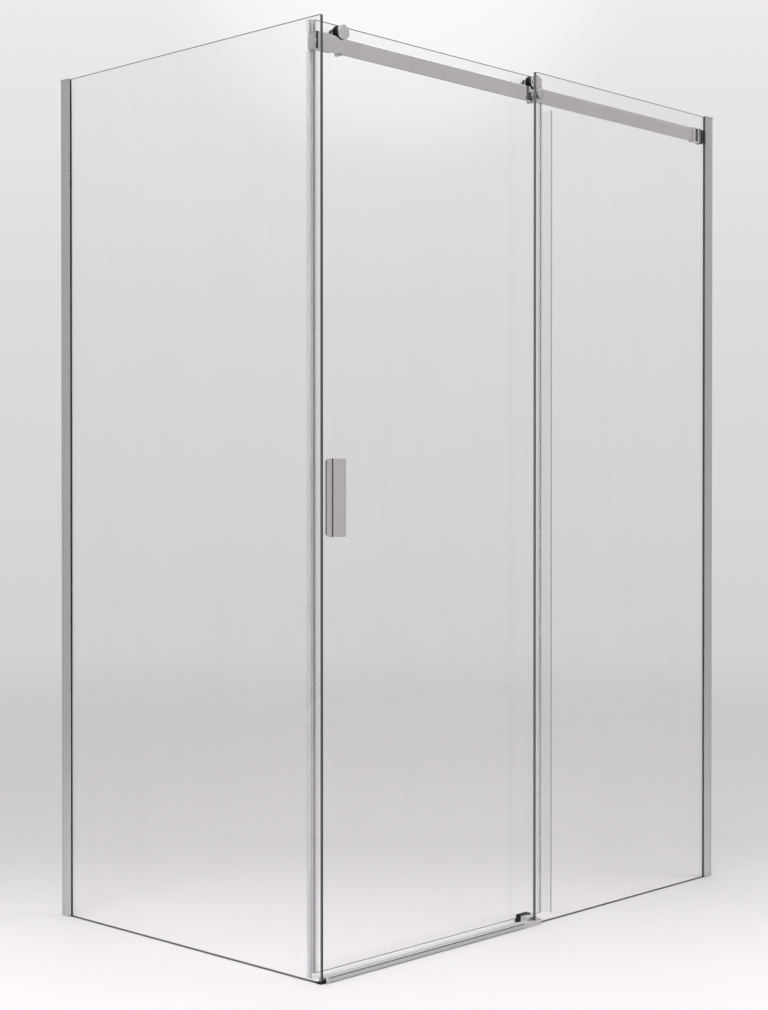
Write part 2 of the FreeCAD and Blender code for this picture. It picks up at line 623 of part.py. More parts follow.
fb_h = cyl("fixing_bolt_h", fx, rf + rt - 4.45, fz, 6.0, 4.3, "y")
fb_x = cyl("fixing_bolt_x", fx, rf + rt - 2.4, fz, 2.0, 4.0, "y")
keep("rail_fixing_bolt", cut("rail_fixing_bolt_f", fuse("fixing_bolt_sh", [fb_s, fb_h]), fb_x))
bush_o = cyl("fixing_bush_o", fx, 0.3, fz, 5.9, 7.4, "y")
bush_i = cyl("fixing_bush_i", fx, 0.0, fz, 3.1, 9.0, "y")
keep("glass_hole_bush", cut("glass_hole_bush_f", bush_o, bush_i))

# ------------------------------------------------------------ closing profile
# on the side glass's inner face, with a chamber for the magnet strip
cp_pts = [(0, 0), (2.0, 0), (2.0, 3.4), (5.9, 3.4), (5.9, 11.6), (2.0, 11.6), (2.0, 15.0), (0, 15.0)]
cp = body("closing_profile_long", 8.05, 32.4, 3.9, False)
pad(cp, "section", "XY_Plane", [("poly", cp_pts)], 1929.6)
pocket(cp, "chamber", "XY_Plane", [rect(1.3, 4.2, 5.2, 10.8)], 1935.0, -1)
cp2 = body("closing_profile_short", 8.05, 32.4, 1972.0, False)
pad(cp2, "section", "XY_Plane", [("poly", cp_pts)], 26.5)
group("closing_profile", [cp, cp2])
mg = body("closing_magnet", 9.45, 36.7, 6.0)
pad(mg, "strip", "XY_Plane", [rect(0, 0, 3.7, 6.4)], 1924.0)

# ----------------------------------------------------------------------- door
dl, dr, df, db = d.door_left, d.door_right, d.door_front, d.door_bottom
hx, hw, hz, hh = d.handle_x, d.handle_wide, d.handle_z, d.handle_high
xl, xr, rz = d.roller_left_x, d.roller_right_x, d.roller_z
door = body("door_glass", dl, df, db)
pad(door, "pane", "XY_Plane", [rect(0, 0, dr - dl, t)], TOP - db)
dress(door, "Chamfer", d.glass_arris, None, "arris")
pocket(door, "holes", "XZ_Plane", [
    ("circle", xl - dl, rz - db, d.door_hole_radius), ("circle", xr - dl, rz - db, d.door_hole_radius),
    ("circle", hx + hw / 2 - dl, hz + 30.0 - db, 4.0), ("circle", hx + hw / 2 - dl, hz + hh - 30.0 - db, 4.0)], t + 2, -1)

# handle: a block on the outer face, its upright left corner cut back for a strip
hd = d.handle_deep
handle = body("door_handle", hx, df - 0.55 - hd, hz)
pad(handle, "block", "XY_Plane", [rect(0, 0, hw, hd)], hh)
dress(handle, "Chamfer", 0.8, lambda e: e.BoundBox.YMin < 0.01 or e.BoundBox.ZMin > hh.v - 0.01 or e.BoundBox.ZMax < 0.01)
pocket(handle, "groove", "XY_Plane",
       [rect(-1, -1, d.handle_groove_wide, d.handle_groove_deep)], hh + 2, -1)
pocket(handle, "screw_holes", "XZ_Plane", [("circle", hw / 2, 30.0, 2.55), ("circle", hw / 2, hh - 30.0, 2.55)],
       14.0, hd - 12.0)
groove_strip = body("handle_groove_strip", hx + 0.15, df - 0.55 - hd + 0.15, hz + 0.6)
pad(groove_strip, "strip", "XY_Plane", [rect(0, 0, d.handle_groove_wide - 0.2, d.handle_groove_deep - 0.2)], hh - 1.2)
hback = body("handle_back_plate", hx + 4.0, df + t + 0.55, hz + 4.0)
pad(hback, "plate", "XY_Plane", [rect(0, 0, hw - 8.0, 3.5)], hh - 8.0)
dress(hback, "Chamfer", 0.6, lambda e: e.BoundBox.YMin > 3.4)
pocket(hback, "screw_holes", "XZ_Plane",
       [("circle", hw / 2 - 4.0, 26.0, 2.7), ("circle", hw / 2 - 4.0, hh - 34.0, 2.7)], 6.0, -1)
pocket(hback, "screw_heads", "XZ_Plane",
       [("circle", hw / 2 - 4.0, 26.0, 4.7), ("circle", hw / 2 - 4.0, hh - 34.0, 4.7)], 4.0, 1.6)
gsk = []
for nm, y0 in (("out", df - 0.52), ("in", df + t + 0.03)):
    g0 = boxp("handle_gasket_%s_b" % nm, hx + 2.5, y0, hz + 2.5, hw - 5.0, 0.48, hh - 5.0)
    h1 = cyl("handle_gasket_%s_1" % nm, hx + hw / 2, y0 - 0.3, hz + 30.0, 2.8, 1.2, "y")
    h2 = cyl("handle_gasket_%s_2" % nm, hx + hw / 2, y0 - 0.3, hz + hh - 30.0, 2.8, 1.2, "y")
    hh_f = fuse("handle_gasket_%s_h" % nm, [h1, h2])
    gsk.append(cut("handle_gasket_%s" % nm, g0, hh_f))
group("handle_gaskets", gsk)
scr = []
for i, zz in enumerate((hz + 30.0, hz + hh - 30.0)):
    s1 = cyl("handle_screw_s_%d" % i, hx + hw / 2, df - 0.55 - 11.0, zz, 2.5, 11.0 + 0.55 + t + 0.55 + 1.7, "y")
    h1 = cyl("handle_screw_h_%d" % i, hx + hw / 2, df + t + 0.55 + 1.62, zz, 4.5, 1.8, "y")
    scr.append(fuse("handle_screw_%d" % i, [s1, h1]))
group("handle_screws", scr)

# leading edge seal: two clear legs on the glass and a chamber with a magnet
ls = body("leading_edge_seal", 14.6, df - 1.3, 12.0)
lt = t + 2.6
pad(ls, "section", "XY_Plane", [("poly", [(0, 0.8), (0.8, 0), (19.5, 0), (19.5, 1.2), (dl - 14.6 - 0.05, 1.25), (dl - 14.6 - 0.05, lt - 1.25),
                                          (19.5, lt - 1.2), (19.5, lt), (0.8, lt), (0, lt - 0.8)])], TOP - 12.0 - 1.0)
pocket(ls, "chamber", "XY_Plane", [rect(1.0, 1.6, 9.6, lt - 1.6)], TOP + 10.0, -1)
lm = body("leading_magnet", 15.9, df - 1.3 + 2.1, 14.0)
pad(lm, "strip", "XY_Plane", [rect(0, 0, 3.7, 6.4)], TOP - 20.0)

# trailing edge seal: clear legs on the glass, and a fin with a thicker lip
# that reaches the fixed glass and ends below the rail
ts_z0 = 12.0
ts = body("trailing_edge_seal", dr - 7.0, t + 0.6, ts_z0)
ty = df - 1.3 - t - 0.6
pad(ts, "section", "XY_Plane", [("poly", [(0, ty), (8.9, ty), (8.9, ty + lt), (0, ty + lt), (0, ty + lt - 1.25), (7.05, ty + lt - 1.25),
                                          (7.05, ty + 1.25), (0, ty + 1.25)])], TOP - ts_z0 - 1.0)
pad(ts, "fin", "XY_Plane", [("poly", [(7.8, 0.5), (8.3, 0), (9.8, 0), (10.3, 0.5), (10.3, 2.2), (9.6, 3.0),
                                      (8.9, ty - 4.0), (8.9, ty + 0.6), (7.5, ty + 0.6), (7.5, ty - 4.0), (8.3, 3.0), (7.8, 2.2)])],
    rb - 14.0 - 15.4, 15.4 - ts_z0)

# ------------------------------------------------------------ roller hardware
# Along Y: cap, wheel on its bearing, hook, collar, washer, glass, washer, rear
# cap. The hook hangs from the axle behind the rail, and its toe reaches under
# the rail, so that the door can't be lifted off.
YC0, YC1 = 9.5, 12.6          # front cap
YW0, YW1 = 13.1, 31.0         # wheel
YH0, YH1 = 33.1, 35.5         # hook
axles, caps, collars, rears, glasswash, hooks = [], [], [], [], [], []
for side, xx in (("left", xl), ("right", xr)):
    shaft = cyl("axle_shaft_" + side, xx, YC0 + 1.2, rz, d.axle_radius, df + t + 6.0 - YC0 - 1.2, "y")
    shoulder = cyl("axle_shoulder_" + side, xx, 29.05, rz, 6.0, 4.0, "y")
    axles.append(fuse("roller_axle_" + side, [shaft, shoulder]))
    co = cyl("roller_cap_o_" + side, xx, YC0, rz, d.roller_cap_radius, YC1 - YC0, "y")
    ci = cyl("roller_cap_i_" + side, xx, YC0 + 1.15, rz, d.axle_radius + 0.02, 4.0, "y")
    cc = cut("roller_cap_c_" + side, co, ci)
    caps.append(rounded("roller_cap_" + side, cc, 0.7, circle_at("Y", YC0 - OY)))
    lo = cyl("roller_collar_o_" + side, xx, YH1 + 0.05, rz, 10.0, df - 0.6 - YH1 - 0.05, "y")
    li = cyl("roller_collar_i_" + side, xx, 32.0, rz, d.axle_radius + 0.02, 8.0, "y")
    collars.append(cut("roller_collar_" + side, lo, li))
    ho = cyl("hook_head_" + side, xx, YH0, rz, 9.0, YH1 - YH0, "y")
    hl = boxp("hook_leg_" + side, xx - 3.5, YH0, rb - 2.2, 7.0, YH1 - YH0, rz - rb + 2.2)
    ht = boxp("hook_toe_" + side, xx - 3.5, 20.5, rb - 2.2, 7.0, YH1 - 20.5, 1.8)
    hi = cyl("hook_hole_" + side, xx, 32.0, rz, d.axle_radius + 0.02, 8.0, "y")
    hooks.append(cut("anti_lift_hook_" + side, fuse("hook_solid_" + side, [ho, hl, ht]), hi))
    ro = cyl("roller_rear_o_" + side, xx, df + t + 0.6, rz, 10.5, 8.0, "y")
    ri = cyl("roller_rear_i_" + side, xx, df + t, rz, d.axle_radius + 0.02, 6.2, "y")
    rc = cut("roller_rear_c_" + side, ro, ri)
    rears.append(rounded("roller_rear_" + side, rc, 1.0, circle_at("Y", 38.5 + 8.0 + 8.6 - OY)))
    for j, wy in enumerate((df - 0.56, df + t + 0.04)):
        wo = cyl("roller_washer_o_%s_%d" % (side, j), xx, wy, rz, 10.2, 0.52, "y")
        wi = cyl("roller_washer_i_%s_%d" % (side, j), xx, wy - 0.2, rz, d.axle_radius + 0.05, 1.0, "y")
        glasswash.append(cut("roller_washer_%s_%d" % (side, j), wo, wi))
group("roller_axles", axles)
group("roller_front_caps", caps)
group("roller_collars", collars)
group("roller_rear_caps", rears)
group("anti_lift_hooks", hooks)
group("door_glass_washers", glasswash)

# grooved nylon wheels, each pressed over a ball bearing's outer race; the
# inner races sit on the axles, and the sealed ball cages run between them
inners = []
for side, xx in (("left", xl), ("right", xr)):
    w = body("roller_wheel_" + side, xx, YW0, rz)
    fr, wr = d.flange_radius, d.wheel_radius
    prof = [(9.02, 0), (fr - 0.6, 0), (fr, 0.5), (fr, 1.0), (wr, 1.65), (wr, 12.2), (fr, 13.0), (fr, 17.2), (fr - 0.7, 17.9), (9.02, 17.9)]
    s = sketch(w, "profile", "XY_Plane", [("poly", prof)])
    rev = w.newObject("PartDesign::Revolution", w.Label + "_turn")
    rev.Profile = s
    rev.ReferenceAxis = (s, ["V_Axis"])
    rev.Angle = 360.0
    oo = cyl("race_outer_o_" + side, xx, YW0 + 1.5, rz, 9.0, 14.0, "y")
    oi = cyl("race_outer_i_" + side, xx, YW0 + 1.0, rz, 7.6, 16.0, "y")
    keep("bearing_outer_" + side, cut("bearing_outer_f_" + side, oo, oi))
    io = cyl("race_inner_o_" + side, xx, YW0 + 1.5, rz, 5.9, 14.0, "y")
    ii = cyl("race_inner_i_" + side, xx, YW0 + 1.0, rz, d.axle_radius + 0.02, 16.0, "y")
    inners.append(cut("bearing_inner_" + side, io, ii))
    so = cyl("race_seal_o_" + side, xx, YW0 + 1.7, rz, 7.58, 13.6, "y")
    si = cyl("race_seal_i_" + side, xx, YW0 + 1.0, rz, 5.96, 16.0, "y")
    keep("bearing_cage_" + side, cut("bearing_cage_f_" + side, so, si))

group("bearing_inner_races", inners)

# --------------------------------------------------------------------- output
doc.recompute()
bad = 0
for o in doc.Objects:
    st = [x for x in o.State if x in ("Invalid", "Error")]
    if st:
        print("BAD", o.Label, o.State)
        bad += 1
    if o.TypeId == "PartDesign::Pocket":
        base = o.BaseFeature
        if base is not None and not o.Shape.isNull() and abs(base.Shape.Volume - o.Shape.Volume) < 1e-3:
            print("pocket removed nothing:", o.Label)
            bad += 1
names = set()
for o in SUB:
    if o.Shape.isNull() or not o.Shape.isValid() or len(o.Shape.Solids) < 1:
        print("BAD SHAPE", o.Label)
        bad += 1
    if o.Label in names:
        print("TWICE", o.Label)
        bad += 1
    names.add(o.Label)
if bad:
    raise SystemExit("model has %d faults" % bad)

for old in os.listdir("parts"):
    if old.endswith(".step"):
        os.remove(os.path.join("parts", old))
total = FreeCAD.BoundBox()
for o in SUB:
    o.Shape.exportStep(os.path.join("parts", o.Label + ".step"))
    total.add(o.Shape.BoundBox)
    print("%-26s solids %d  volume %.1f" % (o.Label, len(o.Shape.Solids), o.Shape.Volume))
print(len(SUB), "sub-parts, box", total)
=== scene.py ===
import math
import random

import bmesh
import bpy
from mathutils import Matrix, Vector

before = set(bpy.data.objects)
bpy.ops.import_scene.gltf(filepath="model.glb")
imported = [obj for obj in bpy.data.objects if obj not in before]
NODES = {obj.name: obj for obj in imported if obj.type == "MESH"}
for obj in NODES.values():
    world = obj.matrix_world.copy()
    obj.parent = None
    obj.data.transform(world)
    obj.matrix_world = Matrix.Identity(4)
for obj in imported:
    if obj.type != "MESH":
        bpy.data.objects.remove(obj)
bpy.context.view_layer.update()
random.seed(7)


# ---------------------------------------------------------------- node helpers
class Tree:
    """A small wrapper round a node tree: makes nodes and links them."""

    def __init__(self, tree):
        self.t = tree

    def node(self, kind, **props):
        n = self.t.nodes.new(kind)
        for k, v in props.items():
            setattr(n, k, v)
        return n

    def link(self, a, b):
        self.t.links.new(a, b)

    def value(self, socket, v):
        if hasattr(v, "is_output") or isinstance(v, bpy.types.NodeSocket):
            self.link(v, socket)
        else:
            socket.default_value = v

    def coords(self, scale=(1, 1, 1), turn=(0, 0, 0), kind="Object"):
        c = self.node("ShaderNodeTexCoord")
        m = self.node("ShaderNodeMapping")
        m.inputs["Scale"].default_value = scale
        m.inputs["Rotation"].default_value = turn
        self.link(c.outputs[kind], m.inputs["Vector"])
        return m.outputs["Vector"]

    def noise(self, vector, scale, detail=4.0, rough=0.5, distort=0.0, out="Fac"):
        n = self.node("ShaderNodeTexNoise")
        self.link(vector, n.inputs["Vector"])
        n.inputs["Scale"].default_value = scale
        n.inputs["Detail"].default_value = detail
        n.inputs["Roughness"].default_value = rough
        n.inputs["Distortion"].default_value = distort
        return n.outputs[out]

    def voronoi(self, vector, scale, feature="F1", out="Distance", random_=1.0):
        n = self.node("ShaderNodeTexVoronoi", feature=feature)
        self.link(vector, n.inputs["Vector"])
        n.inputs["Scale"].default_value = scale
        n.inputs["Randomness"].default_value = random_
        return n.outputs[out]

    def span(self, value, lo, hi, out_lo, out_hi, kind="LINEAR"):
        m = self.node("ShaderNodeMapRange", interpolation_type=kind)
        self.link(value, m.inputs["Value"])
        m.inputs["From Min"].default_value = lo
        m.inputs["From Max"].default_value = hi
        m.inputs["To Min"].default_value = out_lo
        m.inputs["To Max"].default_value = out_hi
        return m.outputs["Result"]

    def math(self, op, a, b=0.0, clamp=False):
        m = self.node("ShaderNodeMath", operation=op, use_clamp=clamp)
        self.value(m.inputs[0], a)
        self.value(m.inputs[1], b)
        return m.outputs[0]

    def ramp(self, value, stops):
        r = self.node("ShaderNodeValToRGB")
        el = r.color_ramp.elements
        while len(el) < len(stops):
            el.new(0.5)
        for e, (pos, col) in zip(el, stops):
            e.position = pos
            e.color = (*col, 1.0)
        self.link(value, r.inputs["Fac"])
        return r.outputs["Color"]

    def mix(self, fac, a, b):
        m = self.node("ShaderNodeMix", data_type="RGBA")
        self.value(m.inputs["Factor"], fac)
        self.value(m.inputs[6], a if isinstance(a, bpy.types.NodeSocket) else (*a, 1.0))
        self.value(m.inputs[7], b if isinstance(b, bpy.types.NodeSocket) else (*b, 1.0))
        return m.outputs[2]

    def bump(self, height, strength, distance, normal=None):
        b = self.node("ShaderNodeBump")
        b.inputs["Strength"].default_value = strength
        b.inputs["Distance"].default_value = distance
        self.link(height, b.inputs["Height"])
        if normal is not None:
            self.link(normal, b.inputs["Normal"])
        return b.outputs["Normal"]


def material(name):
    m = bpy.data.materials.new(name)
    m.use_nodes = True
    t = Tree(m.node_tree)
    p = next(n for n in m.node_tree.nodes if n.type == "BSDF_PRINCIPLED")
    out = next(n for n in m.node_tree.nodes if n.type == "OUTPUT_MATERIAL")
    return m, t, p, out


def glass_material(name, axis, rims, tint, density, smear, painted_rim_band=None):
    """Clear toughened glass: the broad faces (square to the axis) refract and have the faint film of dried water
    that their roughness shows; the ground and polished edges carry a fine grain, are greyer and let less light through;
    that grey is painted shade for the dark look of glass edges."""
    m, t, p, out = material(name)
    co = t.coords()
    film = t.noise(co, 3.2, 5.0, 0.62, 0.6)
    runs = t.noise(t.coords((14.0, 14.0, 0.9)), 2.0, 3.0, 0.5, 0.2)
    both = t.math("MULTIPLY", film, runs)
    pane = t.mix(t.span(both, 0.15, 0.45, 0, 1), (0.982, 0.98, 0.982), (0.962, 0.96, 0.963))
    # Edge faces: the fine noise is the ground grain; the grey tones of the rim are painted shade for the dark look of
    # glass edges
    ground = t.noise(t.coords((260.0, 260.0, 260.0)), 1.0, 3.0, 0.6)
    rim = t.ramp(ground, [(0.3, rims[0]), (0.7, rims[1])])
    # The optional band paints one part of the rim, picked by position, a given tone: painted light or painted shade
    if painted_rim_band:
        part = t.node("ShaderNodeSeparateXYZ")
        t.link(co, part.inputs[0])
        rim = t.mix(t.span(part.outputs[painted_rim_band[0]], painted_rim_band[1], painted_rim_band[2], 0.0, 1.0, "SMOOTHSTEP"), rim, painted_rim_band[3])
    geo = t.node("ShaderNodeNewGeometry")
    sep = t.node("ShaderNodeSeparateXYZ")
    t.link(geo.outputs["True Normal"], sep.inputs[0])
    # Painted shade: the top and bottom edge faces are painted near-black, standing for the dark lines that glass edges
    # show
    top_bottom_painted_shade = t.span(t.math("ABSOLUTE", sep.outputs["Z"]), 0.6, 0.7, 0.0, 1.0)
    rim = t.mix(top_bottom_painted_shade, rim, (0.030, 0.0295, 0.031))
    edge = t.span(t.math("ABSOLUTE", sep.outputs[axis]), 0.90, 0.96, 1.0, 0.0)
    t.link(t.mix(edge, pane, rim), p.inputs["Base Color"])
    fine = t.math("ADD", t.span(both, 0.2, 0.5, 0.0, smear), t.math("MULTIPLY", edge, 0.16))
    t.link(fine, p.inputs["Roughness"])
    p.inputs["IOR"].default_value = 1.36
    t.link(t.span(edge, 0.0, 1.0, 1.0, 0.25), p.inputs["Transmission Weight"])
    p.inputs["Specular IOR Level"].default_value = 0.18
    clear = t.node("ShaderNodeBsdfTransparent")
    clear.inputs["Color"].default_value = (0.945, 0.945, 0.948, 1)
    path = t.node("ShaderNodeLightPath")
    mixer = t.node("ShaderNodeMixShader")
    t.link(path.outputs["Is Shadow Ray"], mixer.inputs["Fac"])
    t.link(p.outputs["BSDF"], mixer.inputs[1])
    t.link(clear.outputs["BSDF"], mixer.inputs[2])
    t.link(mixer.outputs["Shader"], out.inputs["Surface"])
    absorb = t.node("ShaderNodeVolumeAbsorption")
    absorb.inputs["Color"].default_value = (*tint, 1)
    absorb.inputs["Density"].default_value = density
    t.link(absorb.outputs["Volume"], out.inputs["Volume"])
    return m


def chrome_material(name, k=1.0, rough_lo=0.035):
    """Bright chrome plate: near-mirror, with the light orange peel of the plating and fine wiping marks."""
    m, t, p, out = material(name)
    co = t.coords()
    cloud = t.noise(co, 9.0, 4.0, 0.55)
    wipe = t.noise(t.coords((220.0, 220.0, 26.0), (0.25, 0.1, 0.4)), 1.0, 3.0, 0.6, 0.4)
    peel = t.noise(co, 420.0, 2.0, 0.5)
    tone = t.ramp(cloud, [(0.25, tuple(v * k for v in (0.69, 0.68, 0.69))), (0.75, tuple(v * k for v in (0.75, 0.74, 0.75)))])
    geo = t.node("ShaderNodeNewGeometry")
    sep = t.node("ShaderNodeSeparateXYZ")
    t.link(geo.outputs["True Normal"], sep.inputs[0])
    # Painted shade: faces that point down are painted darker, standing for the darker surroundings they reflect
    painted_underside_shade = t.span(sep.outputs["Z"], -0.95, -0.6, 0.42, 0.0)
    t.link(t.mix(painted_underside_shade, tone, (0.16, 0.16, 0.165)), p.inputs["Base Color"])
    p.inputs["Metallic"].default_value = 1.0
    rough = t.math("ADD", t.span(cloud, 0.3, 0.7, rough_lo, rough_lo + 0.025), t.span(wipe, 0.45, 0.7, 0.0, 0.035))
    t.link(rough, p.inputs["Roughness"])
    n1 = t.bump(peel, 0.03, 0.0003)
    t.link(t.bump(wipe, 0.02, 0.0002, n1), p.inputs["Normal"])
    return m


def aluminium_material(name, tone, rough_lo, rough_hi, grain=0.05, along="z"):
    """Anodised aluminium extrusion: fine die lines along its length and a soft anodised sheen."""
    m, t, p, out = material(name)
    k = {"z": (900.0, 900.0, 3.0), "x": (3.0, 900.0, 900.0)}[along]
    lines = t.noise(t.coords(k), 1.0, 5.0, 0.65, 0.1)
    broad = t.noise(t.coords(tuple(v / 9.0 for v in k)), 1.0, 2.0, 0.5, 0.1)
    cloud = t.noise(t.coords(), 5.0, 3.0, 0.5)
    both = t.math("ADD", t.math("MULTIPLY", lines, 0.65), t.math("MULTIPLY", broad, 0.35))
    lo = tuple(v * 0.94 for v in tone)
    skin = t.ramp(both, [(0.3, lo), (0.7, tone)])
    # Painted shade: on bars along x, faces whose normal has Y times Z below -0.2 (fully below -0.35: the front-top and
    # back-bottom roundings) are painted near-black, standing for dark reflection lines
    if along == "x":
        geo = t.node("ShaderNodeNewGeometry")
        sep = t.node("ShaderNodeSeparateXYZ")
        t.link(geo.outputs["True Normal"], sep.inputs[0])
        turn = t.span(t.math("MULTIPLY", sep.outputs["Y"], sep.outputs["Z"]), -0.35, -0.2, 1.0, 0.0)
        skin = t.mix(turn, skin, (0.14, 0.138, 0.14))
    t.link(skin, p.inputs["Base Color"])
    p.inputs["Metallic"].default_value = 1.0
    rough = t.math("ADD", t.span(both, 0.3, 0.7, rough_lo, rough_hi), t.span(cloud, 0.3, 0.7, -0.02, 0.03))
    t.link(rough, p.inputs["Roughness"])
    t.link(t.bump(both, grain, 0.0002), p.inputs["Normal"])
    return m


def steel_material(name):
    """Turned stainless steel: fine tool marks and a cool grey tone."""
    m, t, p, out = material(name)
    co = t.coords()
    marks = t.noise(co, 1400.0, 3.0, 0.6)
    cloud = t.noise(co, 60.0, 3.0, 0.5)
    t.link(t.ramp(cloud, [(0.3, (0.50, 0.505, 0.51)), (0.7, (0.60, 0.60, 0.605))]), p.inputs["Base Color"])
    p.inputs["Metallic"].default_value = 1.0
    t.link(t.math("ADD", t.span(marks, 0.3, 0.7, 0.16, 0.26), t.span(cloud, 0.3, 0.7, 0.0, 0.06)), p.inputs["Roughness"])
    t.link(t.bump(marks, 0.06, 0.0001), p.inputs["Normal"])
    return m


def polymer_material(name, dark, light, rough_lo, rough_hi, grain_scale, grain, sheen=0.0):
    """Rubber or nylon: fine moulded grain, slightly uneven in tone, greyer where it has been rubbed."""
    m, t, p, out = material(name)
    co = t.coords()
    grain_tex = t.noise(co, grain_scale, 3.0, 0.6)
    cloud = t.noise(co, 24.0, 4.0, 0.55, 0.3)
    rub = t.noise(t.coords((60.0, 60.0, 8.0)), 1.0, 3.0, 0.5)
    f = t.math("MULTIPLY", cloud, rub)
    t.link(t.ramp(f, [(0.12, dark), (0.42, light)]), p.inputs["Base Color"])
    t.link(t.math("ADD", t.span(grain_tex, 0.3, 0.7, rough_lo, rough_hi), t.span(cloud, 0.3, 0.7, -0.03, 0.04)), p.inputs["Roughness"])
    p.inputs["Sheen Weight"].default_value = sheen
    p.inputs["Specular IOR Level"].default_value = 0.25
    t.link(t.bump(grain_tex, grain, 0.0002), p.inputs["Normal"])
    return m


def foam_material(name):
    """Closed-cell foam tape: small round cells."""
    m, t, p, out = material(name)
    co = t.coords()
    cells = t.voronoi(co, 1400.0)
    cloud = t.noise(co, 90.0, 3.0, 0.5)
    t.link(t.ramp(cells, [(0.1, (0.012, 0.012, 0.013)), (0.6, (0.045, 0.045, 0.048))]), p.inputs["Base Color"])
    t.link(t.span(cloud, 0.3, 0.7, 0.8, 0.95), p.inputs["Roughness"])
    t.link(t.bump(cells, 0.5, 0.0003), p.inputs["Normal"])
    return m


def seal_material(name):
    """Clear PVC seal: see-through with a slight milky haze and the faint flow lines of the extrusion."""
    m, t, p, out = material(name)
    lines = t.noise(t.coords((700.0, 700.0, 0.7)), 1.0, 3.0, 0.5)
    cloud = t.noise(t.coords(), 11.0, 4.0, 0.5)
    spot = t.node("ShaderNodeSeparateXYZ")
    t.link(t.coords(), spot.inputs[0])
    # Painted shade: the part of a seal lying in front of Y -0.4272 m with X above 0.05 m is painted dark grey and made
    # less see-through, standing for the dark line that face shows
    lip = t.math("MULTIPLY", t.span(spot.outputs["Y"], -0.42735, -0.42705, 1.0, 0.0), t.span(spot.outputs["X"], 0.05, 0.051, 0.0, 1.0))
    body = t.ramp(cloud, [(0.3, (0.90, 0.893, 0.90)), (0.7, (0.95, 0.943, 0.95))])
    t.link(t.mix(lip, body, (0.30, 0.295, 0.30)), p.inputs["Base Color"])
    t.link(t.math("ADD", t.span(lines, 0.3, 0.7, 0.02, 0.07), t.span(cloud, 0.3, 0.7, 0.0, 0.03)), p.inputs["Roughness"])
    p.inputs["IOR"].default_value = 1.38
    t.link(t.span(lip, 0.0, 1.0, 0.96, 0.4), p.inputs["Transmission Weight"])
    t.link(t.bump(lines, 0.015, 0.0002), p.inputs["Normal"])
    clear = t.node("ShaderNodeBsdfTransparent")
    clear.inputs["Color"].default_value = (0.96, 0.962, 0.965, 1)
    path = t.node("ShaderNodeLightPath")
    mixer = t.node("ShaderNodeMixShader")
    see = t.math("MULTIPLY", t.span(lines, 0.3, 0.7, 0.84, 0.78), t.span(lip, 0.0, 1.0, 1.0, 0.35))
    through = t.math("MAXIMUM", t.math("MULTIPLY", path.outputs["Is Shadow Ray"], 0.92), see)
    t.link(through, mixer.inputs["Fac"])
    t.link(p.outputs["BSDF"], mixer.inputs[1])
    t.link(clear.outputs["BSDF"], mixer.inputs[2])
    t.link(mixer.outputs["Shader"], out.inputs["Surface"])
    return m


# The front glass's rim is painted lighter (0.46) toward its left end, fading in from X -0.60 m to fully at -0.69 m:
# painted highlight. The side glass's rim is painted near-black from X -0.71815 m, fully above -0.71465 m: painted
# shade. The rim greys of the two panes also differ, painted to each pane's look.
GLASS = glass_material("mat_clear_glass_front", "Y", ((0.155, 0.152, 0.157), (0.205, 0.20, 0.207)), (0.76, 0.76, 0.77), 0.7, 0.012,
                       ("X", -0.60, -0.69, (0.46, 0.45, 0.46)))
GLASS_SIDE = glass_material("mat_clear_glass_side", "X", ((0.20, 0.195, 0.20), (0.25, 0.245, 0.252)), (0.76, 0.76, 0.77), 0.7, 0.012,
                            ("X", -0.71815, -0.71465, (0.03, 0.0295, 0.031)))
CHROME = chrome_material("mat_polished_chrome")
# Copies of the polished chrome with the base colour scaled: the copy for the wall rail bracket is painted lighter
# (painted highlight) and rougher; the copies for the guide block, threshold end cap and rail fixing cap and spacer are
# painted darker (painted shade) and rougher.
CHROME_SOFT_PAINTED_LIGHT = chrome_material("mat_polished_chrome_soft_painted_light", 1.3, 0.48)
CHROME_PAINTED_SHADE = chrome_material("mat_polished_chrome_painted_shade", 0.80, 0.22)
CHROME_CAP_PAINTED_SHADE = chrome_material("mat_polished_chrome_cap_painted_shade", 0.56, 0.26)
BRIGHT = aluminium_material("mat_bright_aluminium", (0.62, 0.625, 0.635), 0.10, 0.17, 0.03)
# Copy of the bright aluminium for the threshold bar: die lines along x, a lower base tone that is painted shade, and
# painted dark edge lines
BRIGHT_X_PAINTED_SHADE = aluminium_material("mat_bright_aluminium_bar_painted_shade", (0.52, 0.525, 0.535), 0.10, 0.18, 0.03, "x")
SATIN = aluminium_material("mat_satin_aluminium", (0.58, 0.585, 0.59), 0.26, 0.36, 0.06)
STEEL = steel_material("mat_stainless_steel")
RUBBER = polymer_material("mat_black_rubber", (0.003, 0.003, 0.003), (0.010, 0.0098, 0.010), 0.5, 0.66, 900.0, 0.1, 0.0)
# Lighter copy of the black rubber, used only on the front glazing gaskets: its lighter tone is painted light
RUBBER_PAINTED_LIGHT = polymer_material("mat_black_rubber_painted_light", (0.035, 0.0345, 0.035), (0.060, 0.059, 0.060), 0.5, 0.66, 900.0, 0.1, 0.0)
NYLON = polymer_material("mat_black_nylon", (0.006, 0.006, 0.006), (0.018, 0.0178, 0.018), 0.34, 0.46, 600.0, 0.05)
FOAM = foam_material("mat_black_foam")
SEAL = seal_material("mat_clear_seal")
MAGNET = polymer_material("mat_magnet_strip", (0.66, 0.653, 0.66), (0.74, 0.732, 0.74), 0.45, 0.6, 500.0, 0.03)

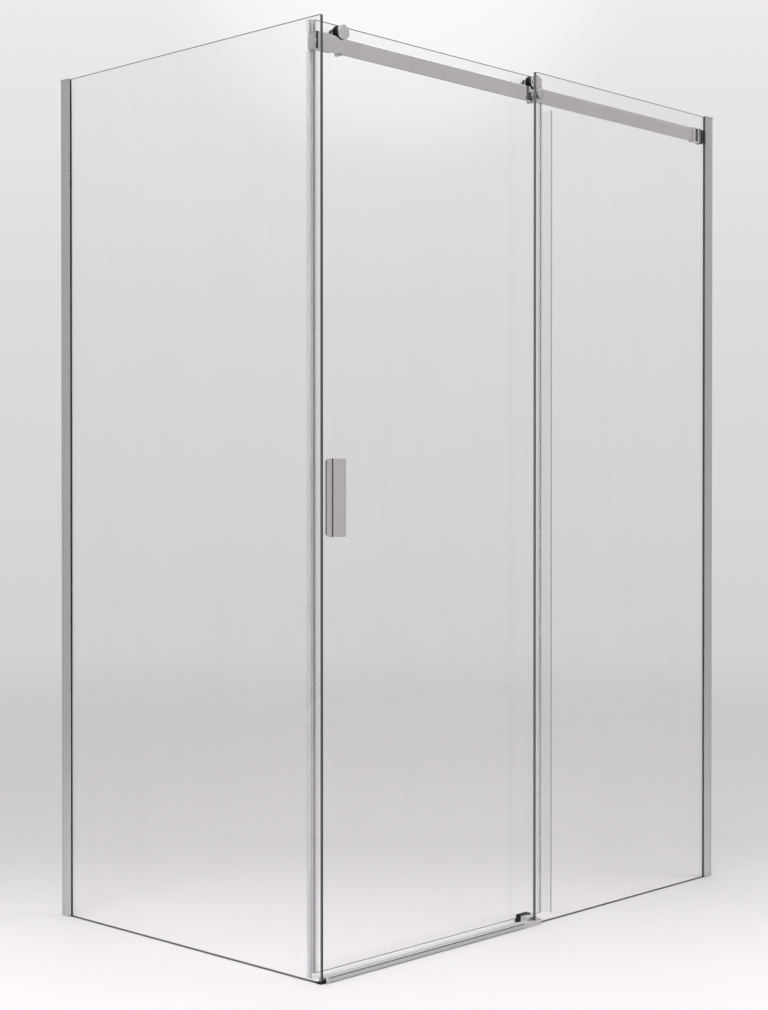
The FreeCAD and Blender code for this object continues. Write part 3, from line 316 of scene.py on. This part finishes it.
FINISH = {
    "clear_glass": GLASS,
    "polished_chrome": CHROME,
    "bright_aluminium": BRIGHT,
    "satin_aluminium": SATIN,
    "stainless_steel": STEEL,
    "black_rubber": RUBBER,
    "black_foam": FOAM,
    "black_nylon": NYLON,
    "clear_seal": SEAL,
    "magnet_strip": MAGNET,
}
SLOT_OF = {
    "clear_glass": ["side_glass_panel", "fixed_glass_panel", "door_glass"],
    "polished_chrome": [
        "threshold_end_cap", "door_guide_block", "top_rail", "corner_rail_bracket",
        "wall_rail_bracket", "rail_end_collar", "rail_fixing_cap", "rail_fixing_spacer", "door_handle",
        "handle_back_plate", "roller_front_caps", "roller_collars", "roller_rear_caps",
    ],
    "bright_aluminium": ["front_glazing_profile", "side_glazing_profile", "profile_caps", "threshold_bar"],
    "satin_aluminium": ["front_wall_channel", "side_wall_channel"],
    "stainless_steel": [
        "profile_clamp_screws", "guide_shoe_screws", "rail_end_bolts",
        "rail_fixing_bolt", "handle_screws", "roller_axles", "anti_lift_hooks", "bearing_inner_races",
        "bearing_outer_left", "bearing_outer_right", "bearing_cage_left", "bearing_cage_right",
    ],
    "black_rubber": [
        "front_glazing_gaskets", "side_glazing_gaskets", "floor_seals", "corner_foot",
        "corner_end_pad", "wall_bracket_buffer", "wall_bracket_neck_seal", "glass_fixing_washers",
        "handle_groove_strip", "door_glass_washers",
    ],
    "black_foam": ["threshold_foam"],
    "black_nylon": ["guide_shoe", "glass_hole_bush", "roller_wheel_left", "roller_wheel_right"],
    "clear_seal": [
        "corner_bracket_pad", "closing_profile", "guide_glass_liner", "handle_gaskets", "leading_edge_seal", "trailing_edge_seal",
    ],
    "magnet_strip": ["closing_magnet", "leading_magnet"],
}
for slot_name, names in SLOT_OF.items():
    for name in names:
        ob = NODES[name]
        mat = FINISH[slot_name]
        if name == "threshold_bar":
            mat = BRIGHT_X_PAINTED_SHADE
        if name == "wall_rail_bracket":
            mat = CHROME_SOFT_PAINTED_LIGHT
        if name in ("door_guide_block", "threshold_end_cap"):
            mat = CHROME_PAINTED_SHADE
        if name in ("rail_fixing_cap", "rail_fixing_spacer"):
            mat = CHROME_CAP_PAINTED_SHADE
        if name == "front_glazing_gaskets":
            mat = RUBBER_PAINTED_LIGHT
        if name == "side_glass_panel":
            mat = GLASS_SIDE
        if not ob.material_slots:
            ob.data.materials.append(mat)
        for s in ob.material_slots:
            s.material = mat
missing = sorted(set(NODES) - {n for v in SLOT_OF.values() for n in v})
if missing:
    raise RuntimeError("no finish for " + ", ".join(missing))


# ---------------------------------------------------------------- floor and light
def floor_piece():
    """A wide pale floor, painted darker beyond the object as seen from the camera (painted shade), that fades into the
    surroundings far from the object.
    """
    me = bpy.data.meshes.new("studio_floor")
    bm = bmesh.new()
    rings, seg = 10, 96
    rows = []
    for i in range(rings + 1):
        r = 26.0 * (i / rings) ** 1.6
        if i == 0:
            rows.append([bm.verts.new((0, 0, 0))])
        else:
            rows.append([bm.verts.new((r * math.cos(2 * math.pi * k / seg), r * math.sin(2 * math.pi * k / seg), 0)) for k in range(seg)])
    for i in range(1, rings + 1):
        for k in range(seg):
            k2 = (k + 1) % seg
            if i == 1:
                bm.faces.new((rows[0][0], rows[1][k], rows[1][k2]))
            else:
                bm.faces.new((rows[i - 1][k], rows[i][k], rows[i][k2], rows[i - 1][k2]))
    bm.to_mesh(me)
    bm.free()
    ob = bpy.data.objects.new("studio_floor", me)
    bpy.context.scene.collection.objects.link(ob)
    ob.location.z = -0.0004
    m, t, p, out = material("mat_floor")
    co = t.coords()
    cloud = t.noise(co, 1.6, 4.0, 0.5)
    fine = t.noise(co, 160.0, 3.0, 0.6)
    pale = t.ramp(cloud, [(0.3, (0.800, 0.782, 0.796)), (0.7, (0.822, 0.804, 0.818))])
    # Painted shade: the floor colour darkens along the direction (0.69, 0.724), beyond the object as seen from the
    # camera
    geo0 = t.node("ShaderNodeTexCoord")
    painted_shade_ahead = t.node("ShaderNodeVectorMath", operation="DOT_PRODUCT")
    t.link(geo0.outputs["Object"], painted_shade_ahead.inputs[0])
    painted_shade_ahead.inputs[1].default_value = (0.69, 0.724, 0.0)
    t.link(t.mix(t.span(painted_shade_ahead.outputs["Value"], -1.0, 0.8, 0.0, 1.0, "SMOOTHSTEP"), pale, (0.555, 0.543, 0.552)), p.inputs["Base Color"])
    t.link(t.span(fine, 0.3, 0.7, 0.55, 0.7), p.inputs["Roughness"])
    p.inputs["Specular IOR Level"].default_value = 0.3
    t.link(t.bump(fine, 0.03, 0.0005), p.inputs["Normal"])
    geo = t.node("ShaderNodeTexCoord")
    length = t.node("ShaderNodeVectorMath", operation="LENGTH")
    t.link(geo.outputs["Object"], length.inputs[0])
    far = t.span(length.outputs["Value"], 1.6, 7.0, 0.0, 1.0, "SMOOTHSTEP")
    clear = t.node("ShaderNodeBsdfTransparent")
    mixer = t.node("ShaderNodeMixShader")
    t.link(far, mixer.inputs["Fac"])
    t.link(p.outputs["BSDF"], mixer.inputs[1])
    t.link(clear.outputs["BSDF"], mixer.inputs[2])
    t.link(mixer.outputs["Shader"], out.inputs["Surface"])
    me.materials.append(m)
    return ob


def world_light():
    """A soft bright surround: lighter overhead and on the far side, greyer to the sides."""
    w = bpy.data.worlds.new("studio")
    bpy.context.scene.world = w
    w.use_nodes = True
    nt = w.node_tree
    nt.nodes.clear()
    t = Tree(nt)
    co = t.node("ShaderNodeTexCoord").outputs["Generated"]
    dot = t.node("ShaderNodeVectorMath", operation="DOT_PRODUCT")
    t.link(co, dot.inputs[0])
    dot.inputs[1].default_value = (0.69, 0.724, 0.0)
    side = t.span(dot.outputs["Value"], 0.1, 0.93, 0.0, 1.0, "SMOOTHSTEP")
    sep = t.node("ShaderNodeSeparateXYZ")
    t.link(co, sep.inputs[0])
    up = t.span(sep.outputs["Z"], 0.3, 0.95, 0.0, 1.0, "SMOOTHSTEP")
    down = t.span(sep.outputs["Z"], -0.02, -0.3, 0.0, 1.0, "SMOOTHSTEP")
    wall = t.ramp(t.span(sep.outputs["Z"], -0.1, 0.3, 0.0, 1.0), [(0.0, (0.655, 0.638, 0.650)), (0.5, (0.725, 0.706, 0.719)), (0.88, (0.84, 0.817, 0.833)), (1.0, (0.88, 0.857, 0.873))])
    glow = t.node("ShaderNodeVectorMath", operation="DOT_PRODUCT")
    t.link(co, glow.inputs[0])
    glow.inputs[1].default_value = (0.6960, 0.6519, 0.3010)
    wall = t.mix(t.span(glow.outputs["Value"], 0.990, 0.9993, 0.0, 0.75, "SMOOTHSTEP"), wall, (1.0, 0.99, 1.0))
    c = t.mix(side, (0.585, 0.565, 0.58), wall)
    c = t.mix(up, c, (0.98, 0.965, 0.98))
    c = t.mix(down, c, (0.64, 0.62, 0.635))
    bg = t.node("ShaderNodeBackground")
    t.link(c, bg.inputs["Color"])
    bg.inputs["Strength"].default_value = 1.0
    out = t.node("ShaderNodeOutputWorld")
    t.link(bg.outputs["Background"], out.inputs["Surface"])


def soft_lamp(name, at, towards, size, power):
    li = bpy.data.lights.new(name, "AREA")
    li.shape = "RECTANGLE"
    li.size, li.size_y = size
    li.energy = power
    ob = bpy.data.objects.new(name, li)
    bpy.context.scene.collection.objects.link(ob)
    ob.location = at
    ob.rotation_euler = (Vector(towards) - Vector(at)).to_track_quat("-Z", "Y").to_euler()
    ob.visible_camera = False
    ob.visible_transmission = False
    return ob


floor_piece()
world_light()
soft_lamp("lamp_above_left", (-3.4, -1.6, 4.6), (0, 0, 0.6), (3.2, 3.2), 120)
soft_lamp("lamp_above_front", (2.6, -3.4, 4.4), (0.2, 0, 0.8), (2.6, 2.6), 60)

# ---------------------------------------------------------------- camera
cam_data = bpy.data.cameras.new("camera")
cam_data.sensor_width = 36.0
cam_data.lens = 63.763
cam_data.clip_start = 0.05
cam_data.clip_end = 400.0
cam = bpy.data.objects.new("camera", cam_data)
bpy.context.scene.collection.objects.link(cam)
yaw, pitch = math.radians(46.37318), math.radians(0.53280)
forward = Vector((math.sin(yaw) * math.cos(pitch), math.cos(yaw) * math.cos(pitch), -math.sin(pitch)))
cam.location = (-3.29917, -3.07847, 1.02527)
cam.rotation_mode = "QUATERNION"
cam.rotation_quaternion = forward.to_track_quat("-Z", "Y")
bpy.context.scene.camera = cam

vs = bpy.context.scene.view_settings
vs.view_transform = "Standard"
vs.look = "None"
vs.exposure = 0.0
vs.gamma = 1.0
